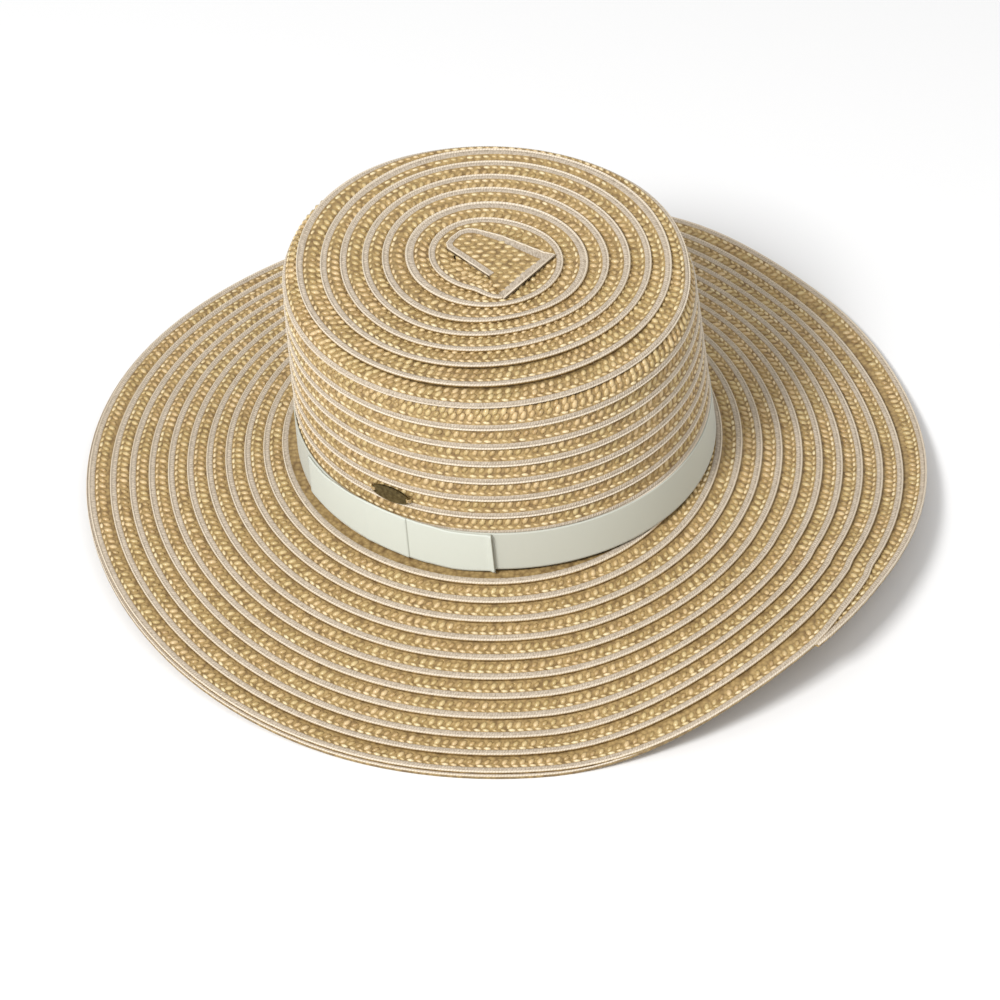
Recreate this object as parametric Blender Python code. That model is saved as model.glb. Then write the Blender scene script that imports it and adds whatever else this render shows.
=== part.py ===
# A sewn straw boater hat, standing on its brim.
# Metres and degrees. +Z is up, the viewer stands towards -Y, and the origin is the middle of the hat's base.
import math

import bmesh
import bpy
from mathutils import Matrix, Vector

# Crown: an oval that leans in a little from its foot to the rim of its tip.
# RIM_LINE_ANGLE is how far up the rim's round edge its row line lies, from level.
CROWN_HALF_LENGTH = 0.0964
CROWN_HALF_WIDTH = 0.0896
CROWN_TURN = -35.0
CROWN_HEIGHT = 0.0929
CROWN_INSET = 0.0054
CROWN_LEAN = 0.029
TIP_SLOPE = 0.034
RIM_ROUND = 0.0075
RIM_LINE_ANGLE = 40.0
FOOT_HEIGHT = 0.0239

# Sewn braid: wall thickness, the visible width of a row, how far a row's lower edge stands out,
# and the least share of a row that lies between two lines
STRAW_WALL = 0.0018
TIP_ROW = 0.0091
SIDE_ROW = 0.0098
RIM_ROW = 0.0126
BRIM_ROW = 0.0090
ROW_STEP = 0.0007
LEAST_ROW_SHARE = 0.25
TIP_ROWS = 6

# Brim: its width at the narrowest place, which grows by one row in a turn and tapers back at the braid's end
BRIM_WIDTH = 0.0954
NARROWEST_DIRECTION = -5.0
TAPER_ARC = 62.0
BRIM_LIFT = 0.0226
EDGE_FLAT = 0.0085
FALL_EASE = 0.18

# Brim edge: the braid's last turn, led under the brim's outer row
EDGE_WALL = 0.0013
EDGE_LIP = 0.0015
EDGE_STRIP = 0.0080
BRAID_END_DIRECTION = -50.0
BRAID_END_GAP = 0.0010

# Ribbon, a little above the crown's foot, and its flat tab, which spans the crown's oval between two angles
RIBBON_RISE = 0.0019
RIBBON_WIDTH = 0.0210
RIBBON_WALL = 0.0006
TAB_WALL = 0.0006
TAB_START = -124.8
TAB_STOP = -62.5
TAB_OVERLAP = 0.0005

# Badge: a blank oval plate with a slot at each end
BADGE_LENGTH = 0.0194
BADGE_HEIGHT = 0.0078
BADGE_WALL = 0.0008
BADGE_ANGLE = -90.0
BADGE_RISE = 0.0350
SLOT_LENGTH = 0.0026
SLOT_WIDTH = 0.0010
SLOT_MARGIN = 0.0016
CUT_MARGIN = 0.0010

# Folded start of the braid on the tip
START_LENGTH = 0.0464
START_WIDTH = 0.0347
START_WALL = 0.0012
START_TURN = -50.0
START_SHIFT_ALONG = -0.0038
START_SHIFT_ACROSS = 0.0094

# Gap between pieces that touch on the real hat
SEAT_GAP = 0.0003

# Number of sides of the rings, and the sharpest bend that is shaded smooth
CROWN_SIDES = 48
BRIM_SIDES = 72
BADGE_SIDES = 28
SMOOTH_ANGLE = 40.0

# Rings of the smooth faces: shares of the crown's height inside it, and of the brim's width under it
INSIDE_SHARES = (0.50, 0.25)
UNDERSIDE_SHARES = (0.84, 0.70, 0.35)

# Rest places and lifts of the brim's edge: (direction, share of BRIM_LIFT, half arc that stays level)
BRIM_WAVE = (
    (-97.0, 0.00, 9.0),
    (-47.0, 1.00, 0.0),
    (25.0, 0.00, 9.0),
    (60.0, 0.22, 0.0),
    (105.0, 0.00, 9.0),
    (180.0, 0.43, 0.0),
)

# Outline of the folded start, from its middle: (along share of START_LENGTH, across share of START_WIDTH)
START_OUTLINE = (
    (0.50, -0.50),
    (0.41, 0.50),
    (0.31, 0.43),
    (-0.18, 0.28),
    (-0.41, 0.15),
    (-0.50, -0.01),
    (-0.44, -0.33),
    (0.17, -0.34),
)


def clear_scene():
    for item in list(bpy.data.objects):
        bpy.data.objects.remove(item, do_unlink=True)


def collection_named(name):
    group = bpy.data.collections.new(name)
    bpy.context.scene.collection.children.link(group)
    return group


def move_to(item, group):
    for holder in list(item.users_collection):
        holder.objects.unlink(item)
    group.objects.link(item)


def principled(name, colour, roughness, metallic=0.0):
    material = bpy.data.materials.new(name)
    material.use_nodes = True
    shader = material.node_tree.nodes["Principled BSDF"]
    shader.inputs["Base Color"].default_value = (*colour, 1.0)
    shader.inputs["Roughness"].default_value = roughness
    shader.inputs["Metallic"].default_value = metallic
    return material


def ease(share):
    share = min(max(share, 0.0), 1.0)
    return (1.0 - math.cos(math.pi * share)) / 2.0


# Brim outline and height, by direction from the crown's middle

def end_share(direction):
    """Share of a clockwise turn from the brim's narrowest place."""
    return ((NARROWEST_DIRECTION - direction) % 360.0) / 360.0


def brim_width(direction):
    share = end_share(direction)
    full = 1.0 - TAPER_ARC / 360.0
    if share > full:
        share = full * (1.0 - share) / (1.0 - full)
    return BRIM_WIDTH + BRIM_ROW * share


def brim_lift(direction):
    """Height of the brim's edge over its rest places, eased from row to row of the table."""
    last = BRIM_WAVE[-1]
    first = BRIM_WAVE[0]
    places = [(last[0] - 360.0, *last[1:]), *BRIM_WAVE, (first[0] + 360.0, *first[1:])]
    direction = (direction + 180.0) % 360.0 - 180.0
    for (start, low, level_a), (stop, high, level_b) in zip(places, places[1:]):
        if start <= direction <= stop:
            span = stop - level_b - (start + level_a)
            share = ease((direction - start - level_a) / span)
            return BRIM_LIFT * (low + (high - low) * share)
    return 0.0


def fall_share(share):
    """How far the brim has fallen at a share of its width: straight, then easing to level."""
    steep = 1.0 / (1.0 - FALL_EASE / 2.0)
    if share >= 1.0:
        return 1.0
    if share < 1.0 - FALL_EASE:
        return steep * share
    return 1.0 - steep * (1.0 - share) ** 2 / (2.0 * FALL_EASE)


# The crown's own frame: height counts from the crown's foot, along its lean

def oval(outset, angle):
    """Point of the crown's oval, moved outwards, at an angle of the oval."""
    turn = math.radians(CROWN_TURN)
    x = (CROWN_HALF_LENGTH + outset) * math.cos(math.radians(angle))
    y = (CROWN_HALF_WIDTH + outset) * math.sin(math.radians(angle))
    return x * math.cos(turn) - y * math.sin(turn), x * math.sin(turn) + y * math.cos(turn)


def foot_plane(x):
    return FOOT_HEIGHT + CROWN_LEAN * x


def lean(x, y, height):
    """Places a point of the upright crown on the leaning one, whose tip has a slope of its own."""
    share = height / CROWN_HEIGHT
    tilt = CROWN_LEAN * x * (1.0 - share) + TIP_SLOPE * y * share
    return Vector((x - CROWN_LEAN * height, y, FOOT_HEIGHT + height + tilt))


def on_crown(outset, angle, height):
    x, y = oval(outset, angle)
    return lean(x, y, height)


def side_outset(height):
    return -CROWN_INSET * height / CROWN_HEIGHT


def direction_of(x, y):
    return math.degrees(math.atan2(y, x))


# Mesh helpers

def mesh_object(name, build, material, group):
    bm = bmesh.new()
    build(bm)
    bmesh.ops.recalc_face_normals(bm, faces=bm.faces)
    mesh = bpy.data.meshes.new(name)
    bm.to_mesh(mesh)
    bm.free()
    mesh.materials.append(material)
    mesh.shade_smooth()
    mesh.set_sharp_from_angle(angle=math.radians(SMOOTH_ANGLE))
    item = bpy.data.objects.new(name, mesh)
    group.objects.link(item)
    return item


def loft(bm, sections, closed_path, closed_ends=False):
    """Joins closed sections in order; the path closes on itself, ends in fans, or ends in flat caps."""
    rows = [[bm.verts.new(point) for point in section] for section in sections]
    pairs = list(zip(rows, rows[1:]))
    if closed_path:
        pairs.append((rows[-1], rows[0]))
    for row, following in pairs:
        for index in range(len(row)):
            after = (index + 1) % len(row)
            bm.faces.new((row[index], row[after], following[after], following[index]))
    if closed_path:
        return
    for row in (rows[0], rows[-1]):
        if closed_ends:
            bm.faces.new(row)
            continue
        middle = sum((vertex.co for vertex in row), Vector()) / len(row)
        centre = bm.verts.new(middle)
        for index in range(len(row)):
            bm.faces.new((row[index], row[(index + 1) % len(row)], centre))


# Crown

def crown_profile():
    """Outer stations from the foot to the middle of the tip, as (outset, height, rib)."""
    stations = [(side_outset(SEAT_GAP), SEAT_GAP, 0.0)]
    line = CROWN_HEIGHT - RIM_ROW
    side_lines = []
    while line > SEAT_GAP + SIDE_ROW * LEAST_ROW_SHARE:
        side_lines.append(line)
        line -= SIDE_ROW
    for height in reversed(side_lines):
        stations.append((side_outset(height), height, 0.0))
        stations.append((side_outset(height), height, ROW_STEP))
    rim_middle = CROWN_HEIGHT - RIM_ROUND
    rim_outset = side_outset(rim_middle)
    rim_line = math.radians(RIM_LINE_ANGLE)
    quarter = math.pi / 2.0
    for angle, rib in ((0.0, 0.0), (rim_line, 0.0), (rim_line, ROW_STEP), (quarter, ROW_STEP / 2.0)):
        outset = rim_outset - RIM_ROUND * (1.0 - math.cos(angle))
        stations.append((outset, rim_middle + RIM_ROUND * math.sin(angle), rib))
    for row in range(1, TIP_ROWS + 1):
        outset = rim_outset - row * TIP_ROW
        if row == 1:
            outset = min(outset, rim_outset - RIM_ROUND - TIP_ROW * LEAST_ROW_SHARE)
        stations.append((outset, CROWN_HEIGHT, 0.0))
        rib = ROW_STEP if row < TIP_ROWS else 0.0
        if rib:
            stations.append((outset, CROWN_HEIGHT, rib))
    return stations


def profile_normal(height, outset):
    """Outward direction of the profile as (out, up)."""
    rim_middle = CROWN_HEIGHT - RIM_ROUND
    if height <= rim_middle:
        return 1.0, 0.0
    centre = side_outset(rim_middle) - RIM_ROUND
    if outset <= centre:
        return 0.0, 1.0
    out = outset - centre
    up = height - rim_middle
    length = math.hypot(out, up)
    return out / length, up / length


def crown_inner_profile():
    """Inner stations from the middle of the tip to the foot, smooth and one wall inside the outer ones."""
    top = CROWN_HEIGHT - STRAW_WALL
    rim_middle = CROWN_HEIGHT - RIM_ROUND
    rim_outset = side_outset(rim_middle)
    small = RIM_ROUND - STRAW_WALL
    stations = [(rim_outset - rows * TIP_ROW, top) for rows in (TIP_ROWS, TIP_ROWS // 2)]
    quarter = math.pi / 2.0
    for angle in (quarter, quarter / 2.0, 0.0):
        outset = rim_outset - RIM_ROUND + small * math.cos(angle)
        stations.append((outset, rim_middle + small * math.sin(angle)))
    for share in INSIDE_SHARES:
        height = rim_middle * share
        stations.append((side_outset(height) - STRAW_WALL, height))
    stations.append((side_outset(SEAT_GAP) - STRAW_WALL, SEAT_GAP))
    return stations


def crown_ring(outset, height):
    step = 360.0 / CROWN_SIDES
    return [on_crown(outset, index * step, height) for index in range(CROWN_SIDES)]


def make_crown(material, group):
    def build(bm):
        rings = [crown_ring(outset, height) for outset, height in crown_inner_profile()]
        for outset, height, rib in crown_profile():
            out, up = profile_normal(height, outset)
            rings.append(crown_ring(outset + rib * out, height + rib * up))
        loft(bm, rings, closed_path=False)
    return mesh_object("crown", build, material, group)


# Brim

def brim_point(share, angle, above):
    """Point over the brim's upper face, at a share of its width and an angle of the crown's oval."""
    foot_x, foot_y = oval(0.0, angle)
    outset_x, outset_y = oval(BRIM_WIDTH, angle)
    direction = direction_of(outset_x, outset_y)
    width = brim_width(direction)
    x, y = oval(share * width, angle)
    fallen = fall_share(share * width / (width - EDGE_FLAT))
    edge = EDGE_WALL + SEAT_GAP + STRAW_WALL
    height = foot_plane(foot_x) * (1.0 - fallen) + edge * fallen + brim_lift(direction) * fallen ** 2
    return Vector((x, y, height + above))


def brim_margin_point(inset, angle, above):
    """Point of the flat margin under the crown's wall."""
    x, y = oval(-inset, angle)
    return Vector((x, y, foot_plane(x) + above))


def brim_ring(point, place, above):
    """Ring of the brim, at a place across it and a height above its upper face."""
    step = 360.0 / BRIM_SIDES
    return [point(place, index * step, above) for index in range(BRIM_SIDES)]


def make_brim(material, group):
    rows = int(BRIM_WIDTH / BRIM_ROW)
    flat_share = 1.0 - EDGE_FLAT / (BRIM_WIDTH + BRIM_ROW / 2.0)

    def build(bm):
        rings = [brim_ring(brim_margin_point, STRAW_WALL, 0.0), brim_ring(brim_margin_point, 0.0, 0.0)]
        for row in range(rows, 0, -1):
            share = 1.0 - row * BRIM_ROW / BRIM_WIDTH
            rings.append(brim_ring(brim_point, share, ROW_STEP))
            rings.append(brim_ring(brim_point, share, 0.0))
        rings.append(brim_ring(brim_point, 1.0, ROW_STEP))
        for share in (1.0, flat_share, *UNDERSIDE_SHARES, 0.0):
            rings.append(brim_ring(brim_point, share, -STRAW_WALL))
        rings.append(brim_ring(brim_margin_point, STRAW_WALL, -STRAW_WALL))
        loft(bm, rings, closed_path=True)
    return mesh_object("brim", build, material, group)


def make_brim_edge(material, group):
    """Strip under the brim's outer row, open at the braid's cut end."""
    gap_arc = math.degrees(BRAID_END_GAP / (CROWN_HALF_LENGTH + BRIM_WIDTH))
    start = BRAID_END_DIRECTION - CROWN_TURN + gap_arc / 2.0
    arc = 360.0 - gap_arc

    def section(angle):
        outer_x, outer_y = oval(BRIM_WIDTH, angle)
        direction = direction_of(outer_x, outer_y)
        width = brim_width(direction)
        base = brim_lift(direction)
        points = []
        for outset, height in (
            (width - EDGE_STRIP, base),
            (width + EDGE_LIP, base),
            (width + EDGE_LIP, base + EDGE_WALL),
            (width - EDGE_STRIP, base + EDGE_WALL),
        ):
            x, y = oval(outset, angle)
            points.append(Vector((x, y, height)))
        return points

    def build(bm):
        sections = [section(start + arc * index / BRIM_SIDES) for index in range(BRIM_SIDES + 1)]
        loft(bm, sections, closed_path=False, closed_ends=True)
    return mesh_object("brim_edge", build, material, group)


# Ribbon

def band_section(angle, low, high, clearance, wall):
    """Upright section of a band that lies a clearance outside the crown's ribs."""
    inner = ROW_STEP + clearance
    corners = ((inner, low), (inner + wall, low), (inner + wall, high), (inner, high))
    return [on_crown(side_outset(height) + outset, angle, height) for outset, height in corners]


def make_ribbon_band(material, group):
    def build(bm):
        step = 360.0 / CROWN_SIDES
        top = RIBBON_RISE + RIBBON_WIDTH
        sections = [
            band_section(index * step, RIBBON_RISE, top, SEAT_GAP, RIBBON_WALL)
            for index in range(CROWN_SIDES)
        ]
        loft(bm, sections, closed_path=True)
    return mesh_object("ribbon_band", build, material, group)


def make_ribbon_tab(material, group):
    """Flat tab over the ribbon's joint, on the same sides as the band so that both stay parallel."""
    step = 360.0 / CROWN_SIDES
    low = RIBBON_RISE
    high = RIBBON_RISE + RIBBON_WIDTH + TAB_OVERLAP
    clearance = 2.0 * SEAT_GAP + RIBBON_WALL
    first = math.ceil(TAB_START / step)
    last = math.floor(TAB_STOP / step)

    def on_side(angle):
        """Section at any angle, on the flat side of the ring that it falls on."""
        before = math.floor(angle / step)
        share = angle / step - before
        section_a = band_section(before * step, low, high, clearance, TAB_WALL)
        section_b = band_section((before + 1) * step, low, high, clearance, TAB_WALL)
        return [a.lerp(b, share) for a, b in zip(section_a, section_b)]

    def build(bm):
        angles = [TAB_START] + [index * step for index in range(first, last + 1)] + [TAB_STOP]
        loft(bm, [on_side(angle) for angle in angles], closed_path=False, closed_ends=True)
    return mesh_object("ribbon_tab", build, material, group)


# Badge

def badge_matrix():
    """Frame on the crown's side: X along the row, Y up, Z outwards, with the plate's back at Z = 0."""
    outset = side_outset(BADGE_RISE) + ROW_STEP + SEAT_GAP
    middle = on_crown(outset, BADGE_ANGLE, BADGE_RISE)
    reach = BADGE_LENGTH / CROWN_HALF_LENGTH
    along = on_crown(outset, BADGE_ANGLE + math.degrees(reach) / 2.0, BADGE_RISE)
    along -= on_crown(outset, BADGE_ANGLE - math.degrees(reach) / 2.0, BADGE_RISE)
    along.normalize()
    top = BADGE_RISE + BADGE_HEIGHT / 2.0
    upward = on_crown(side_outset(top) + ROW_STEP + SEAT_GAP, BADGE_ANGLE, top) - middle
    outward = along.cross(upward).normalized()
    upward = outward.cross(along)
    axes = Matrix((along, upward, outward)).transposed()
    return Matrix.Translation(middle) @ axes.to_4x4()


def slot_cutter(name, centre, frame, group):
    bpy.ops.mesh.primitive_cube_add(size=1.0)
    cutter = bpy.context.active_object
    cutter.name = name
    size = Matrix.Diagonal((SLOT_WIDTH, SLOT_LENGTH, BADGE_WALL + 2.0 * CUT_MARGIN, 1.0))
    cutter.data.transform(Matrix.Translation(centre) @ size)
    cutter.matrix_world = frame
    cutter.hide_render = True
    cutter.display_type = "WIRE"
    move_to(cutter, group)
    return cutter


def make_badge(material, group, cutters):
    frame = badge_matrix()
    bpy.ops.mesh.primitive_cylinder_add(vertices=BADGE_SIDES, radius=0.5, depth=1.0)
    plate = bpy.context.active_object
    plate.name = "badge_plate"
    plate.data.transform(Matrix.Diagonal((BADGE_LENGTH, BADGE_HEIGHT, BADGE_WALL, 1.0)))
    plate.data.transform(Matrix.Translation((0.0, 0.0, BADGE_WALL / 2.0)))
    plate.matrix_world = frame
    move_to(plate, group)
    plate.data.materials.append(material)
    for side, name in ((-1.0, "slot_left"), (1.0, "slot_right")):
        centre = Vector((side * (BADGE_LENGTH / 2.0 - SLOT_MARGIN), 0.0, BADGE_WALL / 2.0))
        cut = plate.modifiers.new(name, "BOOLEAN")
        cut.operation = "DIFFERENCE"
        cut.solver = "EXACT"
        cut.object = slot_cutter(name, centre, frame, cutters)
    plate.data.shade_smooth()
    plate.data.set_sharp_from_angle(angle=math.radians(SMOOTH_ANGLE))
    return plate


# Folded start

def make_start_fold(material, group):
    """Flat plate of folded braid that lies along the tip's slope."""
    turn = Matrix.Rotation(math.radians(START_TURN), 2)
    middle = turn @ Vector((START_SHIFT_ALONG, START_SHIFT_ACROSS))

    def layer(height):
        points = []
        for along, across in START_OUTLINE:
            flat = turn @ Vector((along * START_LENGTH, across * START_WIDTH)) + middle
            points.append(lean(flat.x, flat.y, CROWN_HEIGHT) + Vector((0.0, 0.0, height)))
        return points

    def build(bm):
        sections = [layer(SEAT_GAP), layer(SEAT_GAP + START_WALL)]
        loft(bm, sections, closed_path=False, closed_ends=True)
    return mesh_object("start_fold", build, material, group)


def centre_on_base(items):
    """Moves the hat so that the middle of its outline and its lowest face are at the origin."""
    corners = [item.matrix_world @ vertex.co for item in items for vertex in item.data.vertices]
    low = Vector(min(corner[axis] for corner in corners) for axis in range(3))
    high = Vector(max(corner[axis] for corner in corners) for axis in range(3))
    shift = Matrix.Translation((-(low.x + high.x) / 2.0, -(low.y + high.y) / 2.0, -low.z))
    for item in bpy.data.objects:
        item.matrix_world = shift @ item.matrix_world


def main():
    clear_scene()
    group = collection_named("boater_hat")
    cutters = collection_named("cutters")
    crown_straw = principled("crown_braid", (0.53, 0.38, 0.17), 0.55)
    brim_straw = principled("brim_braid", (0.53, 0.38, 0.17), 0.55)
    edge_straw = principled("edge_braid", (0.56, 0.42, 0.22), 0.6)
    start_straw = principled("start_braid", (0.58, 0.45, 0.25), 0.6)
    ribbon = principled("ribbon_cloth", (0.72, 0.74, 0.66), 0.75)
    tab_ribbon = principled("tab_cloth", (0.74, 0.76, 0.68), 0.7)
    brass = principled("aged_brass", (0.16, 0.13, 0.08), 0.4, 1.0)
    items = [
        make_crown(crown_straw, group),
        make_start_fold(start_straw, group),
        make_brim(brim_straw, group),
        make_brim_edge(edge_straw, group),
        make_ribbon_band(ribbon, group),
        make_ribbon_tab(tab_ribbon, group),
        make_badge(brass, group, cutters),
    ]
    centre_on_base(items)


main()
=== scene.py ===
import math

import bmesh
import bpy
from mathutils import Matrix, Vector


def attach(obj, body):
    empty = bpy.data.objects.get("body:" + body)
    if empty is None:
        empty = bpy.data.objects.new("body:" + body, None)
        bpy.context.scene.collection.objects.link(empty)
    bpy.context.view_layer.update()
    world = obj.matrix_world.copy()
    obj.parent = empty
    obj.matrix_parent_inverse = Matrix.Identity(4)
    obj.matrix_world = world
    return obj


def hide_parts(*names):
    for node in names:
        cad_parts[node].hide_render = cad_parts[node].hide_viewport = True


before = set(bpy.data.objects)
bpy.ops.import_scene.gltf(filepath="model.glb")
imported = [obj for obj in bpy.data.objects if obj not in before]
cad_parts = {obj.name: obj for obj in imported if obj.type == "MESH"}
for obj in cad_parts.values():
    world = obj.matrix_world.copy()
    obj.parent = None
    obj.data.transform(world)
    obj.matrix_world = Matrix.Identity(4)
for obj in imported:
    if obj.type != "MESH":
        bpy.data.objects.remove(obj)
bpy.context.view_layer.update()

# Crown: one long straw braid, sewn in a spiral from the middle of the tip outwards, over the rim and
# down the side. Each turn lies over the next one like a shingle. The braid is a plait of flat straws
# with a ribbed tape along its outer side, bound by a thin pale cord.
HAT_MIDDLE = Vector((0.00196, -0.00225, 0.0))
CROWN_HALF_LENGTH, CROWN_HALF_WIDTH = 0.0964, 0.0896
CROWN_TURN = math.radians(-35.0)
CROWN_HEIGHT, CROWN_INSET = 0.0929, 0.0054
CROWN_LEAN, TIP_SLOPE = 0.029, 0.034
RIM_ROUND = 0.0075
FOOT_HEIGHT, SEAT_GAP = 0.0239, 0.0003
CROWN_FOOT = CROWN_HEIGHT - SEAT_GAP

# Where a turn's outer line lies at the back left, from the rim: (turn, distance, share of the tip's drift)
CROWN_TURNS = (
    (-3.0, -0.0740, 1.00), (0.0, -0.0481, 1.00), (1.0, -0.0397, 1.00), (2.0, -0.0306, 1.00),
    (3.0, -0.0207, 1.00), (4.0, -0.0124, 0.85), (5.0, -0.0030, 0.50), (6.0, 0.0060, 0.15),
    (7.0, 0.0159, 0.00), (17.0, 0.1144, 0.00),
)
# Waves in the rows' drift: (waves in a turn, height, angle of the crest)
TIP_DRIFT = ((0, -0.0016, 0.0), (1, 0.0096, 117.0), (2, 0.0020, 85.0), (3, 0.0008, 24.0))
HEART_DRIFT = ((0, -0.0032, 0.0), (1, 0.0024, 145.0), (2, 0.0022, -34.0), (3, 0.0005, 10.0))
HEART_MIDDLE = (0.0038, 0.0070)
HEART_RADIUS, HEART_PITCH = 0.0384, 0.0096
START_BULGE = 0.0050
CROWN_FIRST_TURN, CROWN_LAST_TURN = -1.36, 15.4
CROWN_TURN_STEPS = 112

# Section of the braid, from its hidden side outwards:
# (distance back from the outer line, height over the shingle, finish of the face that follows)
BRAID_SECTION = (
    (0.0135, -0.00020, "ground"), (0.0090, -0.00020, "ground"), (0.0062, -0.00015, "ground"),
    (0.0033, -0.00010, "ground"), (0.0029, 0.00020, "tape"), (0.0019, 0.00030, "tape"),
    (0.0010, 0.00020, "tape"), (0.00078, 0.00005, "cord"), (0.00066, 0.00050, "cord"),
    (0.00045, 0.00068, "cord"), (0.00018, 0.00048, "cord"), (0.0, 0.00000, "ground"),
)
BRAID_UNDER = (0.0, 0.0040, 0.0085, 0.0135)
BRAID_WALL = 0.00095
SHINGLE_LOW, SHINGLE_RISE = -0.00025, 0.00100
LEAST_ROW, TUCK_SHARE = 0.0040, 1.30
FINISHES = ("ground", "tape", "cord")

# Back of the crown's rim: sharper and a little further out than the front
BACK_DIRECTION, BACK_ROUND, BACK_PUSH = 125.0, 0.0030, 0.0020


def smooth_share(value, low, high):
    share = min(max((value - low) / (high - low), 0.0), 1.0)
    return share * share * (3.0 - 2.0 * share)


def drift(waves, degrees):
    return sum(height * math.cos(math.radians(count * (degrees - crest))) for count, height, crest in waves)


def oval(outset, degrees):
    angle = math.radians(degrees)
    x = (CROWN_HALF_LENGTH + outset) * math.cos(angle)
    y = (CROWN_HALF_WIDTH + outset) * math.sin(angle)
    return (x * math.cos(CROWN_TURN) - y * math.sin(CROWN_TURN),
            x * math.sin(CROWN_TURN) + y * math.cos(CROWN_TURN))


def on_crown(x, y, height):
    """Point of the upright crown, moved to the leaning one with its sloping tip."""
    share = height / CROWN_HEIGHT
    tilt = CROWN_LEAN * x * (1.0 - share) + TIP_SLOPE * y * share
    return HAT_MIDDLE + Vector((x - CROWN_LEAN * height, y, FOOT_HEIGHT + height + tilt))


def side_outset(height):
    return -CROWN_INSET * height / CROWN_HEIGHT


def crown_line(turn):
    """Distance from the rim and share of drift of a turn's outer line, before it drifts."""
    for (start, low, share_a), (stop, high, share_b) in zip(CROWN_TURNS, CROWN_TURNS[1:]):
        if turn <= stop:
            part = (turn - start) / (stop - start)
            return low + (high - low) * part, share_a + (share_b - share_a) * part
    return CROWN_TURNS[-1][1], 0.0


def tucked(back, width):
    """Distance back from a turn's line, held short where the row before it is narrow."""
    limit = TUCK_SHARE * width
    return back if back <= limit else limit + 0.05 * (back - limit)


def crown_place(turn, back, lift):
    """Point of the crown's braid, at a distance back from a turn's outer line."""
    degrees = 180.0 - 360.0 * (turn % 1.0)
    moved = drift(TIP_DRIFT, degrees)
    inner, inner_drift = crown_line(turn - 1.0)
    outer, outer_drift = crown_line(turn)
    line = outer + outer_drift * moved
    width = max(line - inner - inner_drift * moved, LEAST_ROW)
    back = tucked(back, width)
    share = 1.0 - back / width
    above = SHINGLE_LOW + SHINGLE_RISE * share + lift
    from_rim = line - back
    if from_rim > CROWN_FOOT:
        from_rim = CROWN_FOOT + 0.02 * (from_rim - CROWN_FOOT)
    at_back = smooth_share(math.cos(math.radians(degrees - BACK_DIRECTION)), -0.1, 0.7)
    rim_round = RIM_ROUND + (BACK_ROUND - RIM_ROUND) * at_back
    rim_middle = CROWN_HEIGHT - rim_round
    rim_outset = side_outset(rim_middle)
    if from_rim <= -rim_round:
        out, up = 0.0, 1.0
        outset, height = rim_outset + from_rim, CROWN_HEIGHT
    elif from_rim < rim_round:
        bend = (from_rim + rim_round) / (2.0 * rim_round) * math.pi / 2.0
        out, up = math.sin(bend), math.cos(bend)
        outset = rim_outset - rim_round + rim_round * out
        height = rim_middle + rim_round * up
    else:
        out, up = 1.0, 0.0
        height = CROWN_HEIGHT - from_rim
        outset = side_outset(height)
    pushed = smooth_share(from_rim, -0.012, -0.004) * (1.0 - smooth_share(from_rim, 0.010, 0.060))
    x, y = oval(outset + BACK_PUSH * at_back * pushed + above * out, degrees)
    heart = 1.0 - smooth_share(turn - 1.0 + share, -0.6, 0.8)
    if heart > 0.0:
        direction = degrees + math.degrees(CROWN_TURN)
        around = turn - math.degrees(CROWN_TURN) / 360.0
        start = START_BULGE * (1.0 - smooth_share(turn, CROWN_FIRST_TURN, CROWN_FIRST_TURN + 0.10))
        radius = HEART_RADIUS + HEART_PITCH * around + drift(HEART_DRIFT, direction) + start - back
        radius = max(radius, 0.0015)
        heart_x = HEART_MIDDLE[0] + radius * math.cos(math.radians(direction))
        heart_y = HEART_MIDDLE[1] + radius * math.sin(math.radians(direction))
        x += (heart_x - x) * heart
        y += (heart_y - y) * heart
    return on_crown(x, y, height + above * up)


def mesh_piece(name, bm, materials, body="root"):
    """New piece of the hat from a bmesh, riding on its body."""
    mesh = bpy.data.meshes.new(name)
    bm.to_mesh(mesh)
    bm.free()
    for material in materials:
        mesh.materials.append(material)
    item = bpy.data.objects.new(name, mesh)
    bpy.context.scene.collection.objects.link(item)
    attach(item, body)
    return item


def tube(bm, points, radius, sides=6):
    """Round cord along points, closed at both ends."""
    rings = []
    for index, point in enumerate(points):
        before, after = points[max(index - 1, 0)], points[min(index + 1, len(points) - 1)]
        ahead = (after - before).normalized()
        side = ahead.cross(Vector((0.0, 0.0, 1.0)))
        side = side.normalized() if side.length > 0.01 else Vector((1.0, 0.0, 0.0))
        upward = side.cross(ahead)
        angles = [2.0 * math.pi * corner / sides for corner in range(sides)]
        rings.append([bm.verts.new(point + (side * math.cos(angle) + upward * math.sin(angle)) * radius)
                      for angle in angles])
    for ring, following in zip(rings, rings[1:]):
        for corner in range(sides):
            after = (corner + 1) % sides
            face = bm.faces.new((ring[corner], ring[after], following[after], following[corner]))
            face.smooth = True
    bm.faces.new(rings[0])
    bm.faces.new(rings[-1])


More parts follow.
